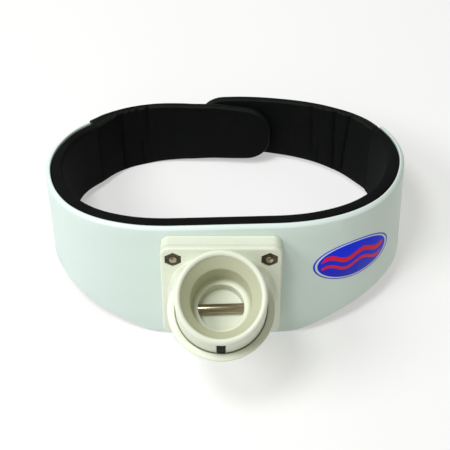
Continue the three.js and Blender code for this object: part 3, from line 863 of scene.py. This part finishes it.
# Creases in the inner cloth: way from the seam at the top and at the bottom, from which
# height to which, as shares of the strap's height, and depth
LEFT_CREASES = [
    (29, 29.5, 0.02, 1, 2.4), (55.5, 54, 0, 0.62, 2.0), (47.5, 49.5, 0.6, 1, 2.0),
    (79, 81, 0.1, 0.9, 0.5),
]
RIGHT_CREASES = [
    (30.5, 35, 0, 1, 2.6), (47, 44.5, 0, 1, 2.4), (69.5, 67, 0, 0.8, 1.6), (62, 61, 0.62, 1, 1.5),
    (89, 91, 0.1, 0.9, 0.5),
]
# Puckers in the edging: where they start and end, their length and how far they reach
PUCKERS = {"left": (17, 62), "right": (22, 76)}
PUCKER_LENGTH = 7.5
PUCKER_IN, PUCKER_DOWN = 0.8, 0.95
EDGING_RISE, EDGING_RISE_RUN = 0.9, 15


# %% Where a strap runs
def strap_way(x, side):
    """The way from the strap's seam, and its share of the way to the back centre."""
    travelled = (x if side == "right" else -x) - SEAM_AT[side]
    return travelled, travelled / WHOLE[side]


def strap_top(x, side):
    travelled, progress = strap_way(x, side)
    sag = STRAP_HEIGHT * eased(STRAP_RUN[side], 3, progress)
    return liner_top(x) + EDGING_RISE * smoothstep(travelled / EDGING_RISE_RUN) - sag


def strap_bottom(x, side):
    progress = strap_way(x, side)[1]
    drop = eased(STRAP_DROP, 1, progress) + eased(STRAP_RUN[side], 4, progress)
    return top_edge(x) / 2 - STRAP_HEIGHT * drop


def strap_depth(x, side):
    progress = strap_way(x, side)[1]
    run = STRAP_RUN[side]
    return STRAP_THICK * eased(run, 1, progress) - LAP * eased(run, 2, progress)


# %% Shaping a strap
def strap_surface(points, side, creases):
    """Sets the depths of a flat strap: its run, the step at its seam and the creases."""
    along, depth, z = points.T
    travelled = strap_way(along, side)[0]
    top = strap_top(along, side)
    run = strap_depth(along, side)
    height = (top - z) / STRAP_HEIGHT
    inner = depth / STRAP_THICK
    seam = 1 - smoothstep(travelled / STRAP_STEP)
    outer_face = seam + run
    inner_face = STRAP_THICK + (LINER_INNER - STRAP_THICK) * seam + run * (1 - seam)
    pillow = smoothstep(np.minimum(top - z, z - strap_bottom(along, side)) / 9)
    dent = 0.7 * (1 - pillow)
    for near_top, near_bottom, start, end, deep in creases:
        line = near_top + (near_bottom - near_top) * np.clip(height, 0, 1)
        reach = smoothstep((height - start + 0.06) / 0.06) * smoothstep((end + 0.06 - height) / 0.06)
        away = travelled - line
        valley = 0.62 * np.exp(-((away / 1.1) ** 2)) + 0.38 * np.exp(-((away / 4.5) ** 2))
        dent = dent + deep * reach * valley
    first, final = PUCKERS[side]
    zone = smoothstep((travelled - first) / 6) * smoothstep((final - travelled) / 8)
    near_top = np.exp(-((np.maximum(top - z, 0) / 5) ** 2))
    phase = math.tau * (travelled + 0.9 * depth) / PUCKER_LENGTH + 1.3 * np.sin(travelled / 5.3)
    wave = 0.5 + 0.5 * np.sin(phase)
    made = points.copy()
    made[:, 1] = outer_face + (inner_face - outer_face) * inner
    made[:, 1] -= dent * smoothstep((inner - 0.35) / 0.6)
    made[:, 1] += 0.5 * (1 - pillow) * (1 - smoothstep(inner / 0.4))
    made[:, 1] -= PUCKER_IN * zone * near_top * wave * smoothstep((inner - 0.2) / 0.5)
    made[:, 2] -= PUCKER_DOWN * zone * near_top * wave * smoothstep((inner - 0.1) / 0.5)
    return made


def groove_rim(piece, width, depth, flat_end):
    """Sinks a groove between the two rolls of the rim, but not across the flat end."""

    def in_the_rim(face):
        away = abs(face.calc_center_median().x / MM - flat_end)
        return abs(face.normal.y) < 0.1 and away > 0.01

    select_where(piece, in_the_rim)
    bpy.ops.mesh.inset(thickness=width * MM, depth=-depth * MM, use_even_offset=True)
    bpy.ops.mesh.inset(thickness=0.35 * MM, depth=0)
    leave_edit()


def edge_with_tape(piece):
    """The faces of the rim are edging tape, and the rest is cloth."""
    piece.data.materials.append(WOVEN_CLOTH)
    piece.data.materials.append(EDGING_TAPE)
    for face in piece.data.polygons:
        face.material_index = 1 if abs(face.normal.y) < 0.93 else 0


def make_strap(name, node, side, past, creases):
    far = SEAM_AT[side] + WHOLE[side] + past
    low, high = (SEAM_AT[side], far) if side == "right" else (-far, -SEAM_AT[side])
    corners = (0, STRAP_CORNER) if side == "right" else (STRAP_CORNER, 0)
    outline = outline_between(
        low, high, lambda x: strap_top(x, side), lambda x: strap_bottom(x, side), *corners, 5
    )
    piece = cut_blank(name, outline, 0, STRAP_THICK)
    seam = low if side == "right" else high
    round_rim(piece, SOFT_ROUNDING, 4, flat_ends=(seam,))
    groove_rim(piece, ROLL_WIDTH, GROOVE_DEPTH, seam)
    edge_with_tape(piece)
    slice_blank(piece, np.arange(low + 1, high, 1.3), np.arange(-74, 4, 3.5))
    lay_pattern(piece)
    set_points(piece, strap_surface(points_of(piece), side, creases))
    bend(piece)
    stand(piece, node, WOVEN_CLOTH, 60)
    points = points_of(piece)
    points[:, 2] = np.maximum(points[:, 2], 0)
    set_points(piece, points)


# %% Both straps
make_strap("left_strap_pad", "strap_left", "left", LEFT_PAST, LEFT_CREASES)
make_strap("right_strap_pad", "strap_right", "right", RIGHT_PAST, RIGHT_CREASES)

# %% [markdown]
# ## The closure and the label
# A strip of hook and loop tape lies between the overlapped straps. The label is a thin
# oval sticker on the right of the shell. Both are blanks, as the rest is.


# %% The hook and loop patch
PATCH_HEIGHT = 36
PATCH_INSET = 8


def make_patch():
    start = HALF_LOOP - LEFT_PAST + PATCH_INSET
    end = HALF_LOOP + RIGHT_PAST - PATCH_INSET
    top = (PATCH_HEIGHT - STRAP_HEIGHT) / 2
    bottom = top - PATCH_HEIGHT
    outline = outline_between(start, end, lambda x: x * 0 + top, lambda x: x * 0 + bottom, 0, 0, 3)
    piece = cut_blank("closure_tape", outline, GAP, GAP + PATCH_THICK)
    round_rim(piece, 0.4, 2)
    slice_blank(piece, np.arange(start + 1, end, 2), np.arange(-48, -13, 4))
    lay_pattern(piece)
    points = points_of(piece)
    points[:, 1] += STRAP_THICK + strap_depth(points[:, 0], "right")
    set_points(piece, points)
    bend(piece)
    stand(piece, "hook_and_loop_patch", HOOK_AND_LOOP)


make_patch()


# %% The label
def make_label():
    turns = np.radians(np.arange(0, 360, 5))
    wide, high = LABEL_WIDTH / 2, LABEL_HEIGHT / 2
    outline = [(LABEL_AT + wide * math.cos(a), high * math.sin(a) - LABEL_DROP) for a in turns]
    piece = cut_blank("label_oval", outline, -0.28, -0.06)
    round_rim(piece, 0.08, 2)
    slice_blank(piece, np.arange(LABEL_AT - wide + 1, LABEL_AT + wide, 2.5), [-LABEL_DROP])
    lay_pattern(piece)
    lean_out(piece)
    bend(piece)
    stand(piece, None, PRINTED_LABEL)


make_label()

# %% [markdown]
# ## The housing
# The housing is one moulding: a square plate with a groove round its sides, and a boss
# that grows from a round foot on the plate to a rim that leans back. The socket for the
# cup and the two hexagonal pockets for the nuts are cut into it.

# %% Turning round shapes
BOSS_LEAN_DEG = 62
PLATE_DROP = 8.8
PLATE_SIZE = 100
PLATE_FACE = -16
PLATE_CORNER = 8
PLATE_ROUNDING = 1.8
PLATE_GROOVE = (3.3, 4.9)
FOOT_RADIUS = 45
BOSS_RADIUS = 43.2
BOSS_TOP = Vector((PLATE_SHIFT, PLATE_FACE - 3, -PLATE_DROP - 6))
CUP_TURN = math.radians(90 - BOSS_LEAN_DEG)
CUP_AXIS = Matrix.Rotation(CUP_TURN, 4, "X")
CUP_FRAME = Matrix.Translation(BOSS_TOP - CUP_AXIS @ Vector((0, BOSS_RADIUS, 0))) @ CUP_AXIS


def turned(name, profile, steps=128):
    """Spins a profile of (radius, height) round Z. Its two ends are on the axis."""
    piece = add_mesh(bpy.ops.mesh.primitive_circle_add, name, vertices=len(profile))
    set_points(piece, [(r, 0, h) for r, h in profile])
    select_where(piece, lambda e: all(v.co.x < 1e-7 for v in e.verts), "EDGE")
    bpy.ops.mesh.delete(type="EDGE_FACE")
    select_all()
    bpy.ops.mesh.spin(steps=steps, angle=math.tau, center=(0, 0, 0), axis=(0, 0, 1))
    select_all()
    bpy.ops.mesh.remove_doubles(threshold=1e-6)
    face_out()
    return piece


def into_cup_frame(piece):
    piece.data.transform(Matrix.Scale(1 / MM, 4))
    piece.data.transform(CUP_FRAME)
    piece.data.transform(Matrix.Scale(MM, 4))
    return piece


def arc(radius, height, size, start, end, count=6):
    """Points of a rounding in a profile, about its centre, between two angles in degrees."""
    turns = np.radians(np.linspace(start, end, count))
    return [(radius + size * math.cos(a), height + size * math.sin(a)) for a in turns]


# %% The plate
def make_plate():
    plate = add_mesh(bpy.ops.mesh.primitive_cube_add, "housing_moulding", size=1)
    depth = -PLATE_FACE - GAP
    middle = (PLATE_SHIFT, PLATE_FACE + depth / 2, -PLATE_DROP - PLATE_SIZE / 2)
    set_points(plate, points_of(plate) * MM * (PLATE_SIZE, depth, PLATE_SIZE) + middle)
    select_where(plate, lambda e: abs(e.verts[0].co.y - e.verts[1].co.y) > 1e-6, "EDGE")
    bpy.ops.mesh.bevel(offset=PLATE_CORNER * MM, segments=12, affect="EDGES")
    front = PLATE_FACE * MM
    select_where(plate, lambda e: all(abs(v.co.y - front) < 1e-6 for v in e.verts), "EDGE")
    bpy.ops.mesh.bevel(offset=PLATE_ROUNDING * MM, segments=5, affect="EDGES")
    groove = [PLATE_FACE + back for back in PLATE_GROOVE]
    for y in groove:
        select_all()
        bpy.ops.mesh.bisect(plane_co=(0, y * MM, 0), plane_no=(0, 1, 0))
    low, high = (groove[0] - 0.1) * MM, (groove[1] + 0.1) * MM
    select_where(plate, lambda f: all(low < v.co.y < high for v in f.verts), "FACE")
    bpy.ops.mesh.inset(thickness=0.2 * MM, depth=-GROOVE_DEPTH * MM)
    leave_edit()
    return plate


# %% The boss
def lofted(name, rings):
    """A closed solid through rings of points, with its ends filled."""
    cells = {"x_subdivisions": len(rings[0]), "y_subdivisions": len(rings) - 1}
    piece = add_mesh(bpy.ops.mesh.primitive_grid_add, name, **cells)
    set_points(piece, [p for ring in rings for p in (*ring, ring[0])])
    edit("VERT")
    select_all()
    bpy.ops.mesh.remove_doubles(threshold=1e-6)
    bpy.ops.mesh.fill_holes(sides=0)
    face_out()
    return piece


def make_boss():
    turns = np.arange(128) / 128 * math.tau
    foot_z = -PLATE_DROP - PLATE_SIZE / 2

    def foot(y):
        r = FOOT_RADIUS
        return [(PLATE_SHIFT + r * math.cos(a), y, foot_z + r * math.sin(a)) for a in turns]

    def rim(inset, drop):
        r = BOSS_RADIUS - inset
        return [tuple(CUP_FRAME @ Vector((r * math.cos(a), r * math.sin(a), -drop))) for a in turns]

    rings = [foot(PLATE_FACE + 1.8), foot(PLATE_FACE - 0.6)]
    rings += [rim(*step) for step in ((0, 1.2), (0.1, 0.75), (0.35, 0.35), (0.75, 0.1), (1.2, 0))]
    return lofted("boss", rings)


# %% The housing
CUP_RADIUS = 36.4
SEAT_DEPTH = 13
SEAT_RADIUS = CUP_RADIUS - 5
CUP_GAP = 0.9
NUT_FLATS = 12.7
NUT_FRONT = PLATE_FACE + GAP
NUT_BACK = NUT_FRONT + 5


def hexagon(x, flats, front, back):
    """A six-sided bar along Y with two of its corners at the top and the bottom."""
    return bar_along_y(x, NUT_Z, flats / math.sqrt(3), front, back, 6)


def make_housing():
    housing = make_plate()
    combine(housing, make_boss(), "UNION")
    top = CUP_RADIUS + CUP_GAP
    low = SEAT_RADIUS + CUP_GAP
    deep = SEAT_DEPTH + GAP
    wall = [(low, -deep), (top, -0.6), (top + 0.2, -0.2), (top + 0.6, 0), (top + 0.6, 60)]
    socket = turned("socket", [(0, -deep), *wall, (0, 60)])
    combine(housing, into_cup_frame(socket), "DIFFERENCE")
    for x in NUT_X:
        combine(housing, hexagon(x, NUT_FLATS + 0.7, -60, NUT_BACK + GAP), "DIFFERENCE")
    bore(housing, [(x, NUT_Z) for x in NUT_X], BOLT_RADIUS + GAP, -30, 5)
    stand(housing, "gimbal_housing", CREAM_MOULDING, 32)


make_housing()

# %% [markdown]
# ## The cup
# The cup is turned: its profile runs from under the floor, up the seat and the wall, over
# the round lip, down the funnel and the bore to the floor. Its mouth is not square to its
# axis, so after the spin its upper part is sheared, more and more towards the mouth. The
# hole for the pin and the slot for the key are cut last.

# %% The cup
CUP_RISE = 30.6
CUP_LIP = 2.5
BORE_RADIUS = 18.4
FLOOR = -SEAT_DEPTH + 6.7
LEDGE = FLOOR + 10.6
FUNNEL_RADIUS = 24.1
FUNNEL_FOOT = CUP_RISE - 7.8
PIN_RADIUS = 3.8
PIN_HEIGHT = FLOOR + PIN_RADIUS + 2.1
PIN_LENGTH = 2 * (BORE_RADIUS + 7)
PIN_TURN_DEG = 1.6
MOUTH_SLANT_DEG = 11
KEY_WIDTH, KEY_THICK, KEY_HEIGHT = 6.6, 3.4, 21
KEY_FOOT = 0.8


def cup_profile():
    middle = CUP_RADIUS - CUP_LIP
    rows = [(0, -SEAT_DEPTH)]
    rows += arc(SEAT_RADIUS - 1.2, -SEAT_DEPTH + 1.2, 1.2, -90, -20, 5)
    rows += [(CUP_RADIUS - 0.1, -0.9)] + [(CUP_RADIUS, h) for h in (-0.4, 4, 10, 16.8, 24)]
    rows += arc(middle, CUP_RISE, CUP_LIP, 0, 180, 13)
    rows += [(middle - CUP_LIP - 0.5, CUP_RISE - 0.7), (28.5, CUP_RISE - 3.4)]
    rows += [(25.6, FUNNEL_FOOT + 1.4), (24.7, FUNNEL_FOOT + 0.4)]
    rows += [(FUNNEL_RADIUS + 0.15, FUNNEL_FOOT - 0.1), (FUNNEL_RADIUS, FUNNEL_FOOT - 0.9)]
    rows += [(23.9, 14), (23.6, LEDGE + 2.4), (23.2, LEDGE + 1.2)]
    rows += [(22.2, LEDGE + 0.5), (20.6, LEDGE + 0.2)]
    rows += arc(BORE_RADIUS + 0.7, LEDGE - 0.6, 0.7, 90, 180, 5)
    rows += [(BORE_RADIUS - 0.3, FLOOR + 2)]
    rows += arc(BORE_RADIUS - 1.4, FLOOR + 1, 1, 0, -90, 5)
    return rows + [(0, FLOOR)]


def slant_mouth(piece):
    points = points_of(piece)
    radius = np.hypot(points[:, 0], points[:, 1])
    height = points[:, 2]
    outside = np.interp(height, [4, 16.8, CUP_RISE], [0, 0.6, 1])
    inside = np.interp(height, [LEDGE + 1.2, FUNNEL_FOOT - 0.5], [0, 1])
    share = np.where(radius > CUP_RADIUS - CUP_LIP - 0.01, outside, inside)
    points[:, 2] += points[:, 1] * np.tan(np.radians(MOUTH_SLANT_DEG) * share)
    set_points(piece, points)


def pin_bar(name, radius, length, rounding):
    """A round bar across the cup, turned a little about the cup's axis."""
    profile = [(0, -length / 2)]
    profile += arc(radius - rounding, -length / 2 + rounding, rounding, -90, 0, 4)
    profile += arc(radius - rounding, length / 2 - rounding, rounding, 0, 90, 4)
    bar = turned(name, profile + [(0, length / 2)], 64)
    bar.data.transform(Matrix.Rotation(math.radians(90), 4, "Y"))
    bar.data.transform(Matrix.Rotation(math.radians(PIN_TURN_DEG), 4, "Z"))
    bar.data.transform(Matrix.Translation((0, 0, PIN_HEIGHT * MM)))
    return into_cup_frame(bar)


def key_block(name, extra, rounding):
    """The key, or with extra all round it the slot that it sits in."""
    block = add_mesh(bpy.ops.mesh.primitive_cube_add, name, size=1)
    depth = KEY_THICK + extra + GAP * 2
    size = (KEY_WIDTH + 2 * extra, depth, KEY_HEIGHT + 2 * extra)
    middle = (0, -CUP_RADIUS + KEY_THICK + extra - depth / 2, KEY_FOOT + KEY_HEIGHT / 2)
    set_points(block, points_of(block) * MM * size + middle)
    if rounding:
        edit("EDGE")
        select_all()
        bpy.ops.mesh.bevel(offset=rounding * MM, segments=3, affect="EDGES")
        leave_edit()
    return into_cup_frame(block)


def make_cup():
    cup = turned("rod_cup", cup_profile())
    slant_mouth(cup)
    into_cup_frame(cup)
    combine(cup, pin_bar("pin_hole", PIN_RADIUS + GAP, PIN_LENGTH + 2 * GAP, 0.1), "DIFFERENCE")
    combine(cup, key_block("key_slot", GAP, 0), "DIFFERENCE")
    stand(cup, "gimbal_cup", CREAM_MOULDING, 32)


make_cup()

# %% The pin and the key
pin = pin_bar("steel_pin", PIN_RADIUS, PIN_LENGTH, 0.5)
stand(pin, "cross_pin", TURNED_STEEL)
key = key_block("collar_key", 0, 0.35)
stand(key, "cup_key", BLACK_PLASTIC)

# %% [markdown]
# ## Nuts and bolts
# A real nut is a hexagonal bar whose corners were turned off at both ends, so the bar is
# cut by a turned shape with slanted shoulders. The bolt is turned too: its thread is a
# row of ridges, and its round head lies behind the shell.


# %% The nuts
def turned_along_y(name, profile, x, steps=64):
    """A turned piece with its axis along Y: the profile is (radius, y)."""
    piece = turned(name, [(r, -y) for r, y in profile], steps)
    points = points_of(piece)
    set_points(piece, np.stack([points[:, 0] + x, -points[:, 2], points[:, 1] + NUT_Z], -1))
    activate(piece)
    edit()
    face_out()
    return piece


def make_nut(name, node, x):
    nut = hexagon(x, NUT_FLATS, NUT_FRONT, NUT_BACK)
    nut.name = name
    flat = NUT_FLATS / 2
    corner = flat / math.cos(math.radians(30))
    shoulder = (corner - flat) * 0.6
    lathe = [(0, NUT_FRONT), (flat - 0.15, NUT_FRONT), (corner + 0.1, NUT_FRONT + shoulder)]
    lathe += [(corner + 0.1, NUT_BACK - shoulder), (flat - 0.15, NUT_BACK), (0, NUT_BACK)]
    combine(nut, turned_along_y("shoulders", lathe, x), "INTERSECT")
    bore(nut, [(x, NUT_Z)], BOLT_RADIUS + GAP, NUT_FRONT - 5, NUT_BACK + 5)
    stand(nut, node, NUT_STEEL, 25)


# %% The bolts
THREAD_PITCH = 1.0
THREAD_ROOT = BOLT_RADIUS - 0.5
HEAD_THICK = 2.4


def make_bolt(name, node, x):
    tip = PLATE_FACE - 1.2
    back = SHELL_WALL + GAP
    head_back = back + HEAD_THICK
    profile = [(0, tip), (BOLT_RADIUS - 0.9, tip), (THREAD_ROOT, tip + 0.3)]
    for y in np.arange(tip + 0.6, tip + 7, THREAD_PITCH):
        profile += [(BOLT_RADIUS, y), (BOLT_RADIUS, y + 0.12)]
        profile += [(THREAD_ROOT, y + 0.5), (THREAD_ROOT, y + 0.62)]
    profile += [(BOLT_RADIUS, back - 3), (BOLT_RADIUS, back), (HEAD_RADIUS, back)]
    profile += [(HEAD_RADIUS, head_back - 0.8), (HEAD_RADIUS - 0.25, head_back - 0.25)]
    profile += [(HEAD_RADIUS - 0.9, head_back)]
    bolt = turned_along_y(name, profile + [(0, head_back)], x, 48)
    stand(bolt, node, TURNED_STEEL, 40)


for word, x in zip(("left", "right"), NUT_X):
    make_nut(f"{word}_hex_nut", f"nut_{word}", x)
    make_bolt(f"{word}_threaded_bolt", f"bolt_{word}", x)

# %% [markdown]
# ## The studio
# The photograph is a cut-out on white, lit softly from the upper left: the left of the
# belt is bright, and the cup throws a soft shadow to its right. A large soft light high on
# the left gives that, a smaller one nearer the middle brightens what faces up, and the
# floor is plain and pale.


# %% Floor and lights
def plain_floor():
    f = Finish("pale_floor", Roughness=0.9, Emission_Color=(1, 1, 1, 1), Emission_Strength=0.4)
    cloud = f.noise(f.place(), 3, 2)
    f.drive("Base Color", f.mix(cloud, (0.56, 0.56, 0.56), (0.58, 0.58, 0.58)))
    return f.material


def add_floor():
    deselect()
    bpy.ops.mesh.primitive_plane_add(size=12, location=(0, 0, -0.0002))
    floor = bpy.context.object
    floor.name = "floor"
    bpy.ops.object.transform_apply(location=True)
    floor.data.materials.append(plain_floor())


def add_light(name, place, target, size, power, color):
    deselect()
    bpy.ops.object.light_add(type="AREA", location=place)
    light = bpy.context.object
    light.name = name
    light.data.shape = "DISK"
    light.data.size = size
    light.data.energy = power
    light.data.color = color
    light.rotation_euler = (Vector(target) - Vector(place)).to_track_quat("-Z", "Y").to_euler()


def light_world(near, far, strength, towards, contrast):
    """An even sky that is a little brighter on one side, and has the near colour there."""
    world = bpy.data.worlds.new("studio")
    bpy.context.scene.world = world
    world.use_nodes = True
    nodes, links = world.node_tree.nodes, world.node_tree.links

    def add(kind, values):
        made = nodes.new(kind)
        for socket, value in values.items():
            made.inputs[socket].default_value = value
        return made

    side = add("ShaderNodeVectorMath", {1: Vector(towards).normalized()})
    side.operation = "DOT_PRODUCT"
    spread = {"From Min": -1, "To Min": 1 - contrast, "To Max": 1 + contrast}
    level = add("ShaderNodeMapRange", spread)
    share = add("ShaderNodeMapRange", {"From Min": -0.6})
    tint = add("ShaderNodeMix", {6: (*far, 1), 7: (*near, 1)})
    tint.data_type = "RGBA"
    total = add("ShaderNodeMath", {1: strength})
    total.operation = "MULTIPLY"
    sky = nodes["Background"].inputs
    links.new(nodes.new("ShaderNodeTexCoord").outputs["Generated"], side.inputs[0])
    links.new(side.outputs["Value"], level.inputs["Value"])
    links.new(side.outputs["Value"], share.inputs["Value"])
    links.new(share.outputs["Result"], tint.inputs["Factor"])
    links.new(level.outputs["Result"], total.inputs[0])
    links.new(total.outputs[0], sky["Strength"])
    links.new(tint.outputs[2], sky["Color"])


add_floor()
add_light("key_light", (-1.24, -0.36, 1.55), (0, 0, 0.06), 0.8, 16.5, (1, 1, 1))
add_light("top_light", (-0.45, -0.12, 1.7), (0, 0, 0.06), 0.4, 11, (0.98, 1, 1))
light_world((0.97, 1.0, 1.02), (1.0, 0.96, 0.56), 0.3, (-0.65, 0.15, 0.75), 0.75)
bpy.context.scene.view_settings.view_transform = "Standard"
